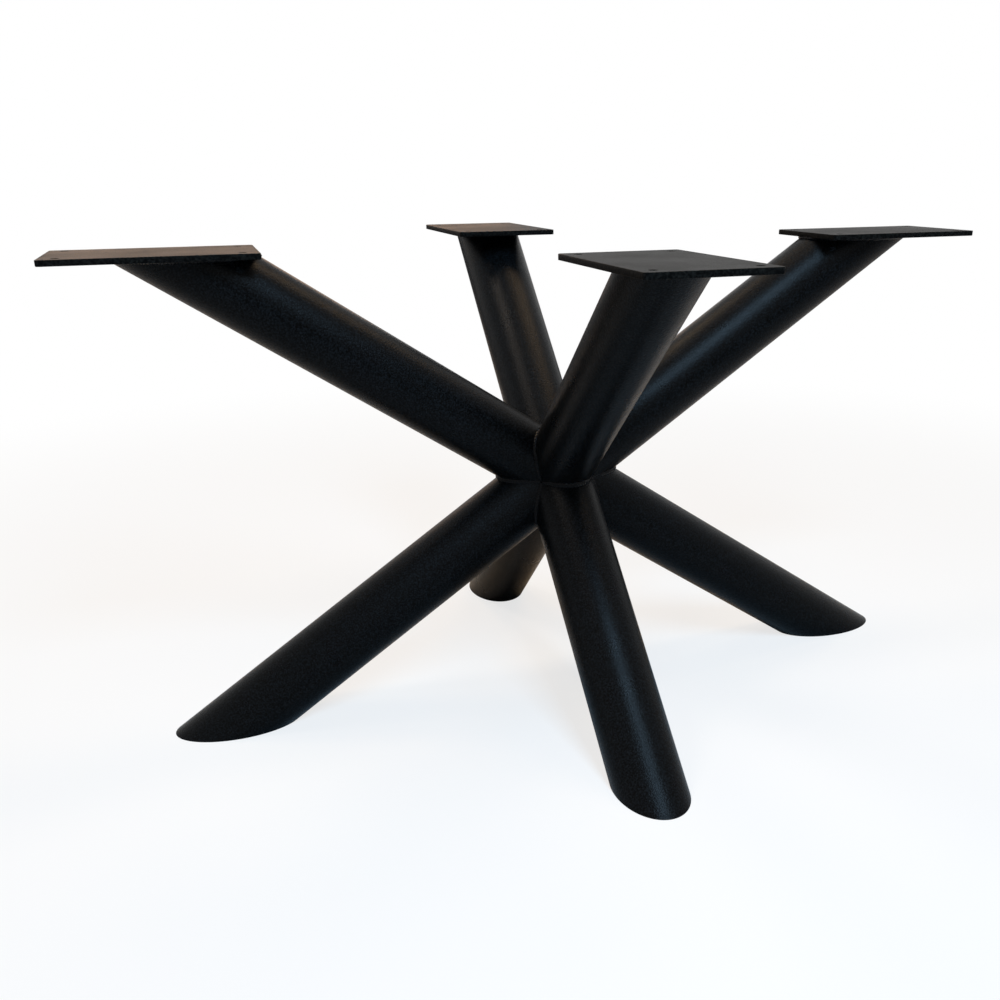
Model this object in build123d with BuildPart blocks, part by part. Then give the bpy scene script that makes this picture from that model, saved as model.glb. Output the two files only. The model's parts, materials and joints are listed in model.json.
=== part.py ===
from build123d import *
import os
from math import atan2, degrees, radians, sin

# Table base, welded from eight round steel tubes. Four tubes rise from a node at half height to four
# mounting plates, and four run down to the floor. Each upper tube is in line with the lower tube on
# the other side of the node, so every centre line passes through one point.
# The origin is on the floor under the node, +X runs along the longer legs and +Z is up.

os.makedirs("parts", exist_ok=True)

# Driving dimensions, in millimetres
base_height = 730.0  # floor to the top face of the mounting plates
tube_diameter = 108.0
tube_wall = 3.0
long_reach = 547.0  # node to the centre line of a left or right leg, measured along the floor
cross_reach = 393.0  # the same for a front or rear leg

plate_length = 270.0  # along the leg that carries the plate
plate_width = 170.0
plate_thickness = 8.0
plate_corner_radius = 5.0
long_plate_shift = 38.0  # outward, from the tube's centre line to the middle of its plate
cross_plate_shift = -4.0
screw_hole_diameter = 10.0
screw_hole_end_inset = 22.0
screw_hole_side_inset = 20.0

foot_plate_thickness = 5.0
foot_plate_clearance = 0.2  # all round, to the bore of the tube that it closes

seam_bead_radius = 5.0  # level bead that joins the upper half to the lower half
mitre_bead_radius = 5.5  # beads in the valleys between neighbouring tubes
plate_bead_radius = 5.0  # bead round each tube, under its mounting plate
bead_overrun_angle = 6.0  # each bead at the node is swept this far past its ends, in degrees, then cut

# Sizes that follow from them
node_height = base_height / 2
tube_radius = tube_diameter / 2
bore_radius = tube_radius - tube_wall
plate_underside = base_height - plate_thickness
longest_tube = 2 * max(long_reach, cross_reach) + base_height
node = Vector(0, 0, node_height)

# Each side's direction in plan, how far its tubes reach and how far its plate is shifted outward
sides = {
    "left": (Vector(-1, 0, 0), long_reach, long_plate_shift),
    "right": (Vector(1, 0, 0), long_reach, long_plate_shift),
    "front": (Vector(0, -1, 0), cross_reach, cross_plate_shift),
    "rear": (Vector(0, 1, 0), cross_reach, cross_plate_shift),
}
levels = {"upper": 1, "lower": -1}
opposite = {"left": "right", "right": "left", "front": "rear", "rear": "front"}


def tube_direction(level, side):
    """Unit vector from the node along the centre line of one tube."""
    outward, reach, _ = sides[side]
    return (outward * reach + Vector(0, 0, levels[level] * node_height)).normalized()


def point_on_tube(side, height):
    """Where the centre line of a side's upper or lower tube crosses a level plane."""
    outward, reach, _ = sides[side]
    return outward * reach * abs(height - node_height) / node_height + Vector(0, 0, height)


def lean_angle(side):
    """Angle between a side's tubes and the floor."""
    return radians(90 - tube_direction("upper", side).get_angle(Vector(0, 0, 1)))


def level_ellipse_plane(side, height):
    """Level plane at a tube's centre line, with its x axis outward along the leg."""
    outward = sides[side][0]
    return Plane(origin=point_on_tube(side, height), x_dir=outward, z_dir=(0, 0, 1))


def neighbours(level, side):
    """Directions of the tubes that one tube is mitred against."""
    other_level = "lower" if level == "upper" else "upper"
    same_level = [tube_direction(level, name) for name in sides if name != side]
    return [tube_direction(other_level, side)] + same_level


# The tubes: straight lengths, cut level at the outer end and mitred at the node. Two tubes of one
# diameter whose centre lines cross meet in the plane halfway between them, so each cut is that plane.
for level in levels:
    for side in sides:
        direction = tube_direction(level, side)
        end_height = plate_underside if level == "upper" else 0
        with BuildPart() as leg_tube:
            with BuildSketch(Plane(origin=node, z_dir=direction)):
                Circle(tube_radius)
                Circle(bore_radius, mode=Mode.SUBTRACT)
            extrude(amount=longest_tube)
            level_cut = Plane(origin=(0, 0, end_height), z_dir=(0, 0, -levels[level]))
            split(bisect_by=level_cut, keep=Keep.TOP)
            for neighbour in neighbours(level, side):
                split(bisect_by=Plane(origin=node, z_dir=direction - neighbour), keep=Keep.TOP)
        leg_tube.part.label = f"{level}_tube_{side}"
        export_step(leg_tube.part, f"parts/{level}_tube_{side}.step")

# The mounting plates: laser-cut rectangles, each with a screw hole near every corner
for side, (outward, reach, plate_shift) in sides.items():
    plate_middle = point_on_tube(side, plate_underside) + outward * plate_shift
    with BuildPart() as mounting_plate:
        with BuildSketch(Plane(origin=plate_middle, x_dir=outward, z_dir=(0, 0, 1))):
            RectangleRounded(plate_length, plate_width, plate_corner_radius)
        extrude(amount=plate_thickness)
        with Locations(mounting_plate.faces().sort_by(Axis.Z)[-1]):
            hole_spacing_along = plate_length - 2 * screw_hole_end_inset
            hole_spacing_across = plate_width - 2 * screw_hole_side_inset
            with GridLocations(hole_spacing_along, hole_spacing_across, 2, 2):
                Hole(screw_hole_diameter / 2)
    mounting_plate.part.label = f"mounting_plate_{side}"
    export_step(mounting_plate.part, f"parts/mounting_plate_{side}.step")

# The foot plates: slices that follow the slope of the bore, let in flush with the cut end of each leg
for side in sides:
    with BuildPart() as foot_plate:
        with BuildSketch(Plane(origin=node, z_dir=tube_direction("lower", side))):
            Circle(bore_radius - foot_plate_clearance)
        extrude(amount=longest_tube)
        split(bisect_by=Plane.XY, keep=Keep.TOP)
        split(bisect_by=Plane.XY.offset(foot_plate_thickness), keep=Keep.BOTTOM)
    foot_plate.part.label = f"foot_plate_{side}"
    export_step(foot_plate.part, f"parts/foot_plate_{side}.step")


def cut_back_to_tubes():
    """Take the steel of all tubes away from a bead, so that it lies on their outer faces."""
    for side in sides:
        with BuildSketch(Plane(origin=node, z_dir=tube_direction("upper", side))) as tube_section:
            Circle(tube_radius)
        extrude(tube_section.sketch, amount=longest_tube, both=True, mode=Mode.SUBTRACT)


def lay_bead(path, path_normal, bead_radius, turn):
    """Sweep a four-sided bead along a flat path. Its section is turned from the way out of the curve."""
    start_direction = path % 0
    section_plane = Plane(
        origin=path @ 0, x_dir=start_direction.cross(path_normal), z_dir=start_direction
    )
    with BuildSketch(section_plane) as bead_section:
        RegularPolygon(bead_radius, 4, rotation=turn)
    sweep(bead_section.sketch, path=path)


def meeting_line(first, second, third):
    """Unit vector from the node towards the point where the outer faces of three tubes meet."""
    line = (first - second).cross(first - third).normalized()
    return line if line.dot(first) > 0 else -line


def node_bead(first, second, end_tubes, bead_radius):
    """Bead along the valley between two tubes, from where one end tube meets them to the other.

    The valley is part of an ellipse in the plane halfway between the two centre lines. Beads that
    meet at a corner are cut off in planes through that corner and a tube's centre line.
    """
    across = first.cross(second).normalized()
    middle = (first + second).normalized()
    valley_radius = tube_radius / sin(radians(first.get_angle(second) / 2))
    corners = [meeting_line(first, second, end_tube) for end_tube in end_tubes]
    corner_angles = sorted(
        degrees(atan2(corner.dot(middle) / valley_radius, corner.dot(across) / tube_radius))
        for corner in corners
    )
    start_angle = corner_angles[0] - bead_overrun_angle
    arc_size = corner_angles[1] - corner_angles[0] + 2 * bead_overrun_angle
    with BuildPart() as bead:
        valley_plane = Plane(origin=node, x_dir=across, z_dir=across.cross(middle))
        with BuildLine(valley_plane) as valley:
            EllipticalCenterArc((0, 0), tube_radius, valley_radius, start_angle, arc_size=arc_size)
        lay_bead(valley.line, valley_plane.z_dir, bead_radius, turn=45)  # a flat side is its crown
        cut_back_to_tubes()
        bead_middle = valley.line @ 0.5 - node
        for corner in corners:
            for tube in (first, second):
                inward = corner.cross(tube)
                if inward.dot(bead_middle) < 0:
                    inward = -inward
                split(bisect_by=Plane(origin=node, z_dir=inward), keep=Keep.TOP)
    return bead


# The seam welds: the level joint between the upper and the lower half, one run for each leg
for side in sides:
    upper_tube = tube_direction("upper", side)
    lower_tube = tube_direction("lower", side)
    ends = [tube_direction("upper", name) for name in sides if name not in (side, opposite[side])]
    seam_weld = node_bead(upper_tube, lower_tube, ends, seam_bead_radius)
    seam_weld.part.label = f"seam_weld_{side}"
    export_step(seam_weld.part, f"parts/seam_weld_{side}.step")

# The mitre welds: one network of beads for each level, with a bead in each valley between neighbouring
# tubes. The steeper pair of opposite tubes also meets along a short ridge, where those beads end.
steep_sides = ("front", "rear") if cross_reach < long_reach else ("left", "right")
shallow_sides = ("left", "right") if cross_reach < long_reach else ("front", "rear")
for level, other_level in (("upper", "lower"), ("lower", "upper")):
    with BuildPart() as mitre_weld:
        for steep in steep_sides:
            for shallow in shallow_sides:
                shallow_tube = tube_direction(level, shallow)
                steep_tube = tube_direction(level, steep)
                ends = [tube_direction(other_level, shallow), tube_direction(level, opposite[steep])]
                add(node_bead(shallow_tube, steep_tube, ends, mitre_bead_radius).part)
        ridge_tubes = [tube_direction(level, side) for side in steep_sides]
        ridge_ends = [tube_direction(level, side) for side in shallow_sides]
        add(node_bead(*ridge_tubes, ridge_ends, mitre_bead_radius).part)
    mitre_weld.part.label = f"{level}_mitre_weld"
    export_step(mitre_weld.part, f"parts/{level}_mitre_weld.step")

# The plate welds: four alike, a bead round the top of each upper tube in the corner under its plate.
# Their sections stand on edge, so that a flat fillet slopes from the plate to the tube.
with BuildPart() as plate_welds:
    for side in sides:
        with BuildLine(level_ellipse_plane(side, plate_underside)) as rim_path:
            EllipticalCenterArc((0, 0), tube_radius / sin(lean_angle(side)), tube_radius, arc_size=360)
        lay_bead(rim_path.line, Vector(0, 0, 1), plate_bead_radius, turn=0)
    split(bisect_by=Plane.XY.offset(plate_underside), keep=Keep.BOTTOM)
    cut_back_to_tubes()
plate_welds.part.label = "plate_welds"
export_step(plate_welds.part, "parts/plate_welds.step")
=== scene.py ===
import json
from math import atan2, cos, pi, radians, sin

import bmesh
import bpy
from mathutils import Matrix, Vector, noise


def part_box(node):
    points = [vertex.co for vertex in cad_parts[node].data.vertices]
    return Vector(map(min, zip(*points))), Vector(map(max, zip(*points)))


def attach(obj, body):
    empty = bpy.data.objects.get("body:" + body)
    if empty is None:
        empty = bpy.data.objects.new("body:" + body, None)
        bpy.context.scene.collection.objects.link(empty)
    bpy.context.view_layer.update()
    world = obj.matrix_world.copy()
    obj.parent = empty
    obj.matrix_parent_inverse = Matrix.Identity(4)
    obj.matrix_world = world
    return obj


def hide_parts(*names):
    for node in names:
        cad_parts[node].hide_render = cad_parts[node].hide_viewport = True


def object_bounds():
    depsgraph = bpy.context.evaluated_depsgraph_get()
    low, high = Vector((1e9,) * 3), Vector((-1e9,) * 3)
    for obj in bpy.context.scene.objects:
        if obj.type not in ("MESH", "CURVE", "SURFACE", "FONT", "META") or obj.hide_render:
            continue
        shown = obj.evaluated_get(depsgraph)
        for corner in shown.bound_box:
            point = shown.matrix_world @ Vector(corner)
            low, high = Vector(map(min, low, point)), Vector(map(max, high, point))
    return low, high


# Table base of eight black steel tubes that are welded together at a node at half height. The packed
# tubes and foot plates are shown as they are. The mounting plates get the soft rims of coated plate,
# and the weld beads get the ripples of hand-laid runs. Lengths are in metres.

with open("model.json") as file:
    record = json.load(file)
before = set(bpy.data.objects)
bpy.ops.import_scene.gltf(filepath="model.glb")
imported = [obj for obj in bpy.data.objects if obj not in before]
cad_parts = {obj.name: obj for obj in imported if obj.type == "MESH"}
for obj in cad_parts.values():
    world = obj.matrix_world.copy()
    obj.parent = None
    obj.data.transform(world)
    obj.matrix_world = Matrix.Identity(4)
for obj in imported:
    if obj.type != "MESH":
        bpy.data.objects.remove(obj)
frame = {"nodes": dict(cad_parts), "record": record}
cad_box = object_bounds()

MM = 0.001

sides = ("left", "right", "front", "rear")
steep_sides = ("front", "rear")
shallow_sides = ("left", "right")
opposite = {"left": "right", "right": "left", "front": "rear", "rear": "front"}
levels = {"upper": 1, "lower": -1}

# Sizes read from the frame
mounts = {mount["name"]: mount for mount in frame["record"]["mounts"]}
feet = {side: Vector(mounts[f"foot_face_{side}"]["pos_m"]) for side in sides}
base_height = cad_box[1].z
node = Vector((0, 0, base_height / 2))
tube_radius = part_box("lower_tube_front")[1].x
plate_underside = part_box("mounting_plate_left")[0].z
screw_hole_radius = mounts["top_screws_left"]["dims"]["hole_r_mm"] * MM

sharp_edge_angle = radians(35)  # faces that meet at a larger angle than this show an edge


def join_rings(mesh, ring, next_ring):
    """Add the faces between two closed rings that have the same number of points."""
    for i in range(len(ring)):
        j = (i + 1) % len(ring)
        mesh.faces.new((ring[i], ring[j], next_ring[j], next_ring[i]))


def finished_piece(name, mesh):
    """Turn a bmesh into an object that is shaded smooth except at its sharp edges."""
    data = bpy.data.meshes.new(name)
    mesh.to_mesh(data)
    mesh.free()
    piece = bpy.data.objects.new(name, data)
    bpy.context.scene.collection.objects.link(piece)
    data.shade_smooth()
    data.set_sharp_from_angle(angle=sharp_edge_angle)
    return piece


# The mounting plates
plate_corner_radius = 5 * MM
plate_rim_radius = 0.9 * MM  # coated steel has no sharp edge: the powder draws back and rounds it
flat_band = 1.5 * MM  # a level band inside each rim, so that the large faces are shaded flat
corner_points = 9
hole_points = 40
rim_steps = 4


def rounded_outline(low, high, corner_radius):
    """Points and outward directions round a rectangle with rounded corners, seen from above.

    The corners are numbered anticlockwise, from the one that is at the right and at the back.
    """
    outline = []
    for corner in range(4):
        right = corner in (0, 3)
        back = corner in (0, 1)
        centre = Vector((
            high.x - corner_radius if right else low.x + corner_radius,
            high.y - corner_radius if back else low.y + corner_radius,
        ))
        for step in range(corner_points):
            angle = pi / 2 * (corner + step / (corner_points - 1))
            outward = Vector((cos(angle), sin(angle)))
            outline.append((centre + outward * corner_radius, outward))
    return outline


def hole_outline(centre, radius):
    """Points round a screw hole, with directions from the steel into the hole."""
    outline = []
    for step in range(hole_points):
        angle = 2 * pi * step / hole_points
        inward = -Vector((cos(angle), sin(angle)))
        outline.append((centre - inward * radius, inward))
    return outline


def rim_profile(bottom, top):
    """Height and setback of each ring of points, from inside the lower rim to inside the upper one."""
    profile = [(bottom, plate_rim_radius + flat_band)]
    for step in range(rim_steps + 1):
        angle = pi / 2 * step / rim_steps
        profile.append((
            bottom + plate_rim_radius * (1 - cos(angle)),
            plate_rim_radius * (1 - sin(angle)),
        ))
    mirrored = [(bottom + top - height, setback) for height, setback in reversed(profile)]
    return profile + mirrored


def make_mounting_plate(side):
    """A laser-cut plate with four screw holes, every rim of it softly rounded by the coat."""
    low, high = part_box(f"mounting_plate_{side}")
    screws = mounts[f"top_screws_{side}"]
    middle = Vector(screws["pos_m"]).to_2d()
    spacing_x = screws["dims"]["spacing_x_mm"]
    spacing_y = screws["dims"]["spacing_y_mm"]
    outlines = [rounded_outline(low, high, plate_corner_radius)]
    for x_sign in (-1, 1):
        for y_sign in (-1, 1):
            offset = Vector((x_sign * spacing_x, y_sign * spacing_y)) * MM / 2
            outlines.append(hole_outline(middle + offset, screw_hole_radius))
    mesh = bmesh.new()
    face_edges = {"bottom": [], "top": []}
    for outline in outlines:
        rings = []
        for height, setback in rim_profile(low.z, high.z):
            ring = [mesh.verts.new((*(point - outward * setback), height)) for point, outward in outline]
            rings.append(ring)
        for ring, next_ring in zip(rings, rings[1:]):
            join_rings(mesh, ring, next_ring)
        for face_name, ring in (("bottom", rings[0]), ("top", rings[-1])):
            for i in range(len(ring)):
                face_edges[face_name].append(mesh.edges.get((ring[i], ring[(i + 1) % len(ring)])))
    for edges in face_edges.values():
        bmesh.ops.triangle_fill(mesh, use_beauty=True, edges=edges)
    bmesh.ops.recalc_face_normals(mesh, faces=mesh.faces)
    return finished_piece(f"coated_mounting_plate_{side}", mesh)


# The weld beads. A hand-laid bead is a row of crescent ripples, and its size and path waver a little.
ripple_pitch = 4.5 * MM  # about 3 mm on the real weld, drawn coarser because finer would not show
ripple_height = 0.7 * MM
ripple_bow = 0.55  # how far the middle of a ripple runs ahead of its ends, as a share of the pitch
ripple_rise = 1.6  # power with which a ripple rises, slowly at first, before it drops to the next one
ripple_fade = 0.7  # power with which the ripples fade from the crown of the bead to its toes
samples_per_ripple = 8

crown_height = 0.16  # of the bead without its ripples, as a share of its legs
bead_points = 11  # across the bead, from toe to toe
bead_root_depth = 2.5 * MM  # the hidden back of a bead lies this far inside the steel
toe_sink = 0.25 * MM  # the toes of a bead run a little into the tubes, so that no gap shows

size_waver = 0.28  # as a share of the legs
size_waver_length = 11 * MM
size_noise_row = 0
path_waver = 1.0 * MM
path_waver_length = 17 * MM
path_noise_row = 5

bead_end_length = 3.5 * MM  # the ends of a run are rounded off over this length
bead_end_size = 0.15  # share of the full size that is left at the very end

# Legs of the beads, from the root line to each toe: at the ends of a run and at its middle
run_end_leg = 2.6 * MM
seam_leg = 6.0 * MM
mitre_leg = 4.5 * MM
ridge_end_leg = 3.0 * MM
ridge_leg = 4.0 * MM
plate_weld_leg = 5.0 * MM


def tube_direction(level, side):
    """Unit vector from the node along the centre line of one tube."""
    foot = feet[side]
    return Vector((foot.x, foot.y, levels[level] * node.z)).normalized()


def meeting_line(first, second, third):
    """Unit vector from the node towards the point where the outer faces of three tubes meet."""
    line = (first - second).cross(first - third).normalized()
    return line if line.dot(first) > 0 else -line


def off_axis(point, direction):
    """Vector to a point from the nearest point of a tube's centre line."""
    arm = point - node
    return arm - direction * arm.dot(direction)


def on_tube(point, direction):
    """The nearest point on a tube, sunk a little below its outer face."""
    arm = off_axis(point, direction)
    return point - arm + arm.normalized() * (tube_radius - toe_sink)


def leg_away(tangent, own_normal, other_normal):
    """Direction along one tube's face that leaves the root line away from the other piece of steel."""
    leg = tangent.cross(own_normal).normalized()
    return leg if leg.dot(other_normal) > 0 else -leg


def end_share(to_end):
    """Share of its full size that a bead has at some distance from its nearer end."""
    if to_end >= bead_end_length:
        return 1.0
    return max(bead_end_size, (1 - (1 - to_end / bead_end_length) ** 2) ** 0.5)


def make_bead(name, stations, leg_lengths, seed, closed=False):
    """A rippled bead.

    Each station is a point of the root line, the directions in which the bead's two legs leave it, and
    a function for each leg that seats a toe point on the steel.
    """
    mesh = bmesh.new()
    rings = []
    travelled = 0.0
    total = sum((b[0] - a[0]).length for a, b in zip(stations, stations[1:]))
    for index, (root, first_leg, second_leg, seat_first, seat_second) in enumerate(stations):
        if index:
            travelled += (root - stations[index - 1][0]).length
        share = 1.0 if closed else end_share(min(travelled, total - travelled))
        waver = 1 + size_waver * noise.noise(Vector((travelled / size_waver_length, seed, size_noise_row)))
        leg = leg_lengths[index] * share * waver
        drift = path_waver * noise.noise(Vector((travelled / path_waver_length, seed, path_noise_row)))
        first_toe = seat_first(root + first_leg * (leg + drift))
        second_toe = seat_second(root + second_leg * (leg - drift))
        chord = second_toe - first_toe
        along = chord.cross(first_leg + second_leg)
        outward = along.cross(chord).normalized()
        camber = leg * crown_height
        ring = []
        for step in range(bead_points):
            across = 2 * step / (bead_points - 1) - 1
            crown = 1 - across * across
            phase = travelled / ripple_pitch - ripple_bow * crown
            ripple = (phase % 1.0) ** ripple_rise * ripple_height * crown ** ripple_fade * share
            point = first_toe.lerp(second_toe, (across + 1) / 2)
            ring.append(mesh.verts.new(point + outward * (camber * crown + ripple)))
        ring.append(mesh.verts.new(root - outward * bead_root_depth * share))
        rings.append(ring)
    for ring, next_ring in zip(rings, rings[1:]):
        join_rings(mesh, ring, next_ring)
    if closed:
        join_rings(mesh, rings[-1], rings[0])
    else:
        mesh.faces.new(rings[0])
        mesh.faces.new(reversed(rings[-1]))
    bmesh.ops.recalc_face_normals(mesh, faces=mesh.faces)
    return finished_piece(name, mesh)


def make_node_bead(name, first, second, end_tubes, end_leg, middle_leg, seed):
    """Bead in the valley between two tubes, from where one end tube meets them to the other.

    The valley is part of an ellipse in the plane halfway between the two centre lines.
    """
    across = first.cross(second).normalized()
    middle = (first + second).normalized()
    valley_radius = tube_radius / sin(first.angle(second) / 2)
    angles = []
    for end_tube in end_tubes:
        corner = meeting_line(first, second, end_tube)
        angles.append(atan2(corner.dot(middle) / valley_radius, corner.dot(across) / tube_radius))
    start, end = min(angles), max(angles)
    count = int((end - start) * valley_radius / ripple_pitch * samples_per_ripple)
    stations = []
    legs = []
    for step in range(count + 1):
        share = step / count
        angle = start + (end - start) * share
        root = node + across * tube_radius * cos(angle) + middle * valley_radius * sin(angle)
        tangent = (middle * valley_radius * cos(angle) - across * tube_radius * sin(angle)).normalized()
        first_normal = off_axis(root, first).normalized()
        second_normal = off_axis(root, second).normalized()
        stations.append((
            root,
            leg_away(tangent, first_normal, second_normal),
            leg_away(tangent, second_normal, first_normal),
            lambda point: on_tube(point, first),
            lambda point: on_tube(point, second),
        ))
        legs.append(end_leg + (middle_leg - end_leg) * sin(pi * share))
    return make_bead(name, stations, legs, seed)


def make_plate_bead(side, leg, seed):
    """Fillet weld round an upper tube, in the corner under its mounting plate."""
    direction = tube_direction("upper", side)
    outward = Vector((feet[side].x, feet[side].y, 0)).normalized()
    sideways = Vector((0, 0, 1)).cross(outward)
    down = Vector((0, 0, -1))
    lift = (plate_underside - node.z) / direction.z
    centre = node + direction * lift
    long_radius = tube_radius / direction.z
    count = int(2 * pi * (long_radius + tube_radius) / 2 / ripple_pitch * samples_per_ripple)
    stations = []
    for step in range(count):
        angle = 2 * pi * step / count
        root = centre + outward * long_radius * cos(angle) + sideways * tube_radius * sin(angle)
        tangent = (sideways * tube_radius * cos(angle) - outward * long_radius * sin(angle)).normalized()
        tube_normal = off_axis(root, direction).normalized()
        stations.append((
            root,
            leg_away(tangent, down, tube_normal),
            leg_away(tangent, tube_normal, down),
            lambda point: Vector((point.x, point.y, plate_underside + toe_sink)),
            lambda point: on_tube(point, direction),
        ))
    return make_bead(f"rippled_plate_weld_{side}", stations, [leg] * count, seed, closed=True)


# Sockets of the colour Mix node, which are reached by number because their names repeat
MIX_FACTOR, MIX_FIRST, MIX_SECOND, MIX_RESULT = 0, 6, 7, 2


def linear(hex_colour):
    """Linear colour with alpha from an sRGB hex value."""
    shares = [int(hex_colour[i:i + 2], 16) / 255 for i in (1, 3, 5)]
    return [s / 12.92 if s <= 0.04045 else ((s + 0.055) / 1.055) ** 2.4 for s in shares] + [1.0]


def add_node(tree, kind, settings=(), values=(), links=()):
    """Add a node, set its properties and its sockets, and link sockets to other nodes' outputs."""
    made = tree.nodes.new(kind)
    for name, value in dict(settings).items():
        setattr(made, name, value)
    for name, value in dict(values).items():
        made.inputs[name].default_value = value
    for name, output in dict(links).items():
        tree.links.new(output, made.inputs[name])
    return made


def sandy_powder_coat(
    name, dark, light, grain, grain_depth, patch, low_roughness, high_roughness, gloss
):
    """Black polyester powder coat with a fine sandy texture, as baked on steel furniture.

    The sand scatters the light, so highlights are broad, soft and speckled, and the colour stays near
    black. The film is not quite even, which shows as faint patches of more and less gloss.
    """
    material = bpy.data.materials.new(name)
    material.use_nodes = True
    tree = material.node_tree
    tree.nodes.clear()
    place = add_node(tree, "ShaderNodeTexCoord").outputs["Object"]
    sand = add_node(
        tree, "ShaderNodeTexNoise",
        values={"Scale": 1 / grain, "Detail": 3.0, "Roughness": 0.6},
        links={"Vector": place},
    ).outputs["Fac"]
    patches = add_node(
        tree, "ShaderNodeTexNoise",
        values={"Scale": 1 / patch, "Detail": 4.0, "Roughness": 0.55},
        links={"Vector": place},
    ).outputs["Fac"]
    speck = add_node(
        tree, "ShaderNodeMapRange",
        values={"From Min": 0.42, "From Max": 0.68},
        links={"Value": sand},
    ).outputs["Result"]
    colour = add_node(
        tree, "ShaderNodeMix",
        settings={"data_type": "RGBA"},
        values={MIX_FIRST: linear(dark), MIX_SECOND: linear(light)},
        links={MIX_FACTOR: speck},
    ).outputs[MIX_RESULT]
    roughness = add_node(
        tree, "ShaderNodeMapRange",
        values={"From Min": 0.35, "From Max": 0.65, "To Min": low_roughness, "To Max": high_roughness},
        links={"Value": patches},
    ).outputs["Result"]
    relief = add_node(
        tree, "ShaderNodeBump",
        values={"Strength": 1.0, "Distance": grain_depth},
        links={"Height": sand},
    ).outputs["Normal"]
    coat = add_node(
        tree, "ShaderNodeBsdfPrincipled",
        values={"IOR": 1.5, "Specular IOR Level": gloss},
        links={"Base Color": colour, "Roughness": roughness, "Normal": relief},
    )
    add_node(tree, "ShaderNodeOutputMaterial", links={"Surface": coat.outputs["BSDF"]})
    return material


# The coats. The grit of the real one is about 0.4 mm. It is drawn at 2.4 mm, and at 3 mm on the
# plates, because finer would not show. Their gloss is low, because sand breaks up what a smooth
# black coat would mirror.

# On the tubes it is near black, and the long highlights are soft and speckled
tube_coat = sandy_powder_coat(
    "sandy_black_powder_coat",
    dark="#010101", light="#141618",
    grain=2.4 * MM, grain_depth=0.50 * MM, patch=60 * MM,
    low_roughness=0.27, high_roughness=0.31, gloss=0.048,
)

# On the plates it is duller and its specks are paler, which shows from above. Seen at a low angle,
# the plates still mirror the bright room.
plate_coat = sandy_powder_coat(
    "sandy_black_powder_coat_on_plate",
    dark="#050505", light="#1b1a18",
    grain=3.0 * MM, grain_depth=0.35 * MM, patch=90 * MM,
    low_roughness=0.40, high_roughness=0.46, gloss=0.02,
)

# Over weld metal it has little grit and more gloss, so that each ripple catches the light
weld_coat = sandy_powder_coat(
    "powder_coat_over_weld_metal",
    dark="#030304", light="#0b0d0f",
    grain=2.4 * MM, grain_depth=0.05 * MM, patch=12 * MM,
    low_roughness=0.24, high_roughness=0.32, gloss=0.065,
)

# Little powder reaches the foot plates inside the tube ends, so they look flatter and greyer
foot_coat = sandy_powder_coat(
    "thin_powder_coat_on_foot_plate",
    dark="#060607", light="#121416",
    grain=2.4 * MM, grain_depth=0.20 * MM, patch=30 * MM,
    low_roughness=0.38, high_roughness=0.46, gloss=0.045,
)


def dress(piece, material, slot, *replaced):
    """Give a piece its material, let it ride on the frame and stand for its CAD nodes. The slot is not
    used.
    """
    piece.data.materials.clear()
    piece.data.materials.append(material)
    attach(piece, "root")
    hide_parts(*replaced)


for side in sides:
    dress(make_mounting_plate(side), plate_coat, "plate_coat", f"mounting_plate_{side}")

# Each bead has a seed of its own, so that no two beads waver alike
seed = 0
for side in sides:
    seed += 1
    ends = [tube_direction("upper", name) for name in sides if name not in (side, opposite[side])]
    bead = make_node_bead(
        f"rippled_seam_weld_{side}", tube_direction("upper", side), tube_direction("lower", side),
        ends, run_end_leg, seam_leg, seed,
    )
    dress(bead, weld_coat, "weld_coat", f"seam_weld_{side}")
for level, other_level in (("upper", "lower"), ("lower", "upper")):
    for steep in steep_sides:
        for shallow in shallow_sides:
            seed += 1
            ends = [tube_direction(other_level, shallow), tube_direction(level, opposite[steep])]
            bead = make_node_bead(
                f"rippled_{level}_mitre_weld_{steep}_{shallow}",
                tube_direction(level, shallow), tube_direction(level, steep),
                ends, run_end_leg, mitre_leg, seed,
            )
            dress(bead, weld_coat, "weld_coat", f"{level}_mitre_weld")
    seed += 1
    ridge_tubes = [tube_direction(level, side) for side in steep_sides]
    ends = [tube_direction(level, side) for side in shallow_sides]
    bead = make_node_bead(
        f"rippled_{level}_ridge_weld", *ridge_tubes, ends, ridge_end_leg, ridge_leg, seed
    )
    dress(bead, weld_coat, "weld_coat", f"{level}_mitre_weld")
for side in sides:
    seed += 1
    dress(make_plate_bead(side, plate_weld_leg, seed), weld_coat, "weld_coat", "plate_welds")

for name, cad_object in frame["nodes"].items():
    if "tube" in name:
        cad_object.material_slots[0].material = tube_coat
    elif "foot_plate" in name:
        cad_object.material_slots[0].material = foot_coat


# The room: a white backdrop, a pale floor and soft boxes
soft_light_strength = 0.1
floor_reach = 40  # from its middle to each edge, too far for the camera to see an edge
floor_gap = 0.3 * MM  # the floor lies just under the feet, so that no faces coincide
shadow_radius = 0.7  # within this distance of the middle, the floor shows the object's shadow most
white_radius = 2.8  # beyond this one, it is plain white
white_share_near = 0.75


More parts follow.
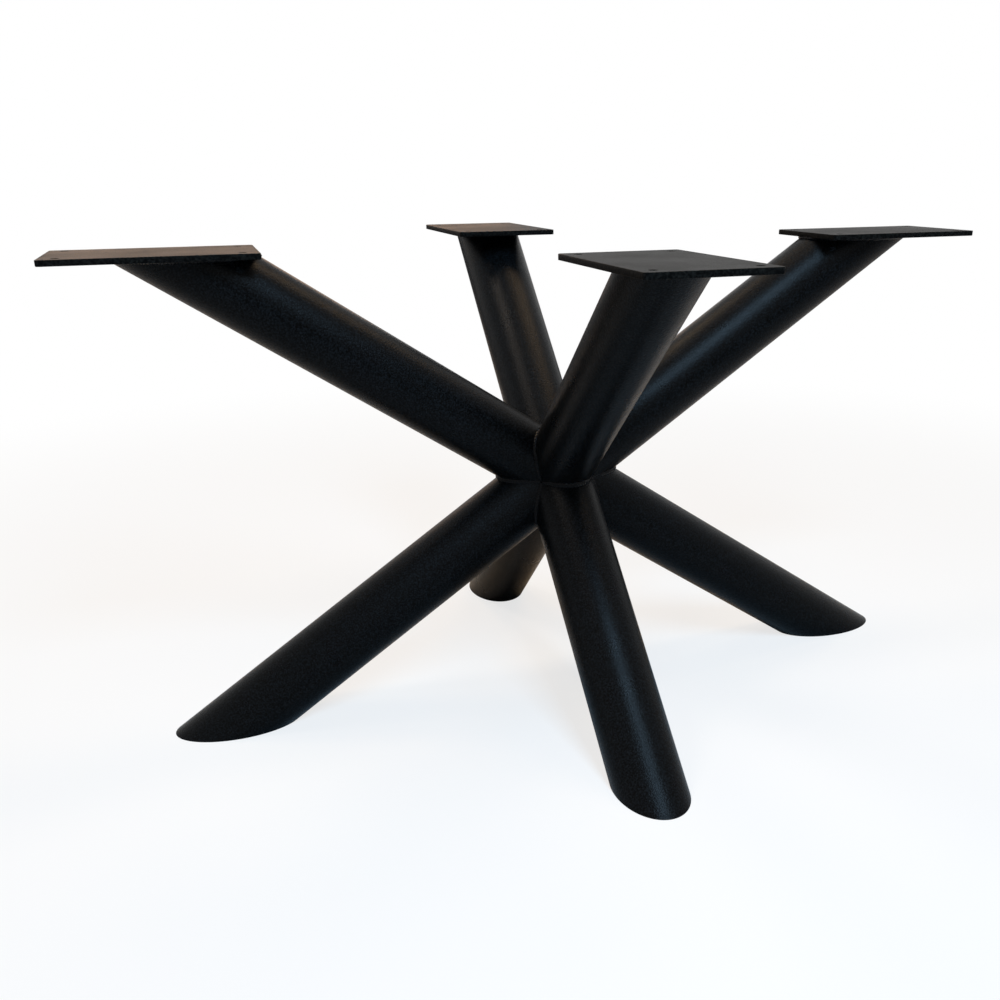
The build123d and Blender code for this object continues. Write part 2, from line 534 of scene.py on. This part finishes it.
def white_backdrop():
    """White all round for the camera and for reflections, and a soft even light on the object."""
    world = bpy.data.worlds.new("white_studio")
    world.use_nodes = True
    bpy.context.scene.world = world
    tree = world.node_tree
    tree.nodes.clear()
    rays = add_node(tree, "ShaderNodeLightPath").outputs
    camera_or_glossy = add_node(
        tree, "ShaderNodeMath",
        settings={"operation": "MAXIMUM"},
        links={0: rays["Is Camera Ray"], 1: rays["Is Glossy Ray"]},
    ).outputs[0]
    seen = add_node(
        tree, "ShaderNodeMath",
        settings={"operation": "MAXIMUM"},
        links={0: camera_or_glossy, 1: rays["Is Transmission Ray"]},
    ).outputs[0]
    soft_light = add_node(
        tree, "ShaderNodeBackground",
        values={"Color": linear("#f6f8fc"), "Strength": soft_light_strength},
    )
    white = add_node(tree, "ShaderNodeBackground", values={"Color": linear("#ffffff"), "Strength": 1.0})
    mix = add_node(
        tree, "ShaderNodeMixShader",
        links={0: seen, 1: soft_light.outputs[0], 2: white.outputs[0]},
    )
    add_node(tree, "ShaderNodeOutputWorld", links={"Surface": mix.outputs[0]})


def pale_floor():
    """A pale floor that keeps the object's shadow and fades to white further out, for the camera.

    From below it is clear, so that the underside of the object can be seen.
    """
    mesh = bmesh.new()
    bmesh.ops.create_grid(mesh, x_segments=1, y_segments=1, size=floor_reach)
    bmesh.ops.translate(mesh, verts=mesh.verts, vec=(0, 0, -floor_gap))
    floor = finished_piece("studio_floor", mesh)
    material = bpy.data.materials.new("pale_studio_floor")
    material.use_nodes = True
    tree = material.node_tree
    tree.nodes.clear()
    rays = add_node(tree, "ShaderNodeLightPath").outputs
    paper = add_node(tree, "ShaderNodeBsdfDiffuse", values={"Color": linear("#e6e6e6")})
    white = add_node(tree, "ShaderNodeEmission", values={"Color": linear("#ffffff"), "Strength": 1.0})
    place = add_node(tree, "ShaderNodeTexCoord").outputs["Object"]
    distance = add_node(
        tree, "ShaderNodeVectorMath",
        settings={"operation": "LENGTH"},
        links={0: place},
    ).outputs["Value"]
    fade = add_node(
        tree, "ShaderNodeMapRange",
        settings={"interpolation_type": "SMOOTHSTEP"},
        values={
            "From Min": shadow_radius, "From Max": white_radius, "To Min": white_share_near, "To Max": 1.0
        },
        links={"Value": distance},
    ).outputs["Result"]
    share = add_node(
        tree, "ShaderNodeMath",
        settings={"operation": "MULTIPLY"},
        links={0: rays["Is Camera Ray"], 1: fade},
    ).outputs[0]
    lit = add_node(
        tree, "ShaderNodeMixShader",
        links={0: share, 1: paper.outputs[0], 2: white.outputs[0]},
    )
    below = add_node(tree, "ShaderNodeNewGeometry").outputs["Backfacing"]
    clear = add_node(tree, "ShaderNodeBsdfTransparent")
    mix = add_node(
        tree, "ShaderNodeMixShader",
        links={0: below, 1: lit.outputs[0], 2: clear.outputs[0]},
    )
    add_node(tree, "ShaderNodeOutputMaterial", links={"Surface": mix.outputs[0]})
    floor.data.materials.append(material)


def soft_box(name, place, width, height, watts, colour):
    """A soft box that faces the node, and that the camera doesn't see."""
    lamp = bpy.data.lights.new(name, "AREA")
    lamp.shape = "RECTANGLE"
    lamp.size = width
    lamp.size_y = height
    lamp.energy = watts
    lamp.color = linear(colour)[:3]
    holder = bpy.data.objects.new(name, lamp)
    holder.location = place
    holder.rotation_euler = (node - Vector(place)).to_track_quat("-Z", "Y").to_euler()
    holder.visible_camera = False
    bpy.context.scene.collection.objects.link(holder)


white_backdrop()
pale_floor()

# A cool main light high in front, and warm ones above the back, the left and the right. The low one
# at the back puts a warm sheen on the tops of the plates.
soft_box("window_light", (0.05, -2.0, 2.6), width=0.85, height=1.2, watts=102, colour="#b4deff")
soft_box("ceiling_light", (-0.5, 1.4, 2.95), width=0.75, height=0.75, watts=22, colour="#ffdcb0")
soft_box("wall_light", (-1.45, 0.45, 2.95), width=0.7, height=0.7, watts=28, colour="#ffeddc")
soft_box("side_light", (1.1, 0.35, 2.9), width=0.6, height=1.6, watts=32, colour="#ffd8a8")
soft_box("low_warm_light", (-0.1, 3.4, 1.3), width=2.2, height=0.5, watts=8, colour="#ffb870")

# The camera stands where it stood for the photograph, found by fitting the base to it
camera_place = Vector((-0.5286, -1.4907, 0.8320))
camera_turn = radians(-19.297)
camera_tilt = radians(-21.751)
camera_roll = radians(-0.376)
film_width = 36  # in millimetres, as is the focal length
focal_length = 35.763
sideways_shift = -0.0534
upward_shift = 0.0636
furthest_seen = 200

camera_data = bpy.data.cameras.new("photograph_camera")
camera_data.sensor_width = film_width
camera_data.lens = focal_length
camera_data.shift_x = sideways_shift
camera_data.shift_y = upward_shift
camera_data.clip_end = furthest_seen
camera = bpy.data.objects.new("photograph_camera", camera_data)
camera.matrix_world = (
    Matrix.Translation(camera_place)
    @ Matrix.Rotation(camera_turn, 4, "Z")
    @ Matrix.Rotation(pi / 2 + camera_tilt, 4, "X")
    @ Matrix.Rotation(camera_roll, 4, "Z")
)
bpy.context.scene.collection.objects.link(camera)
bpy.context.scene.camera = camera

bpy.context.scene.view_settings.view_transform = "Standard"
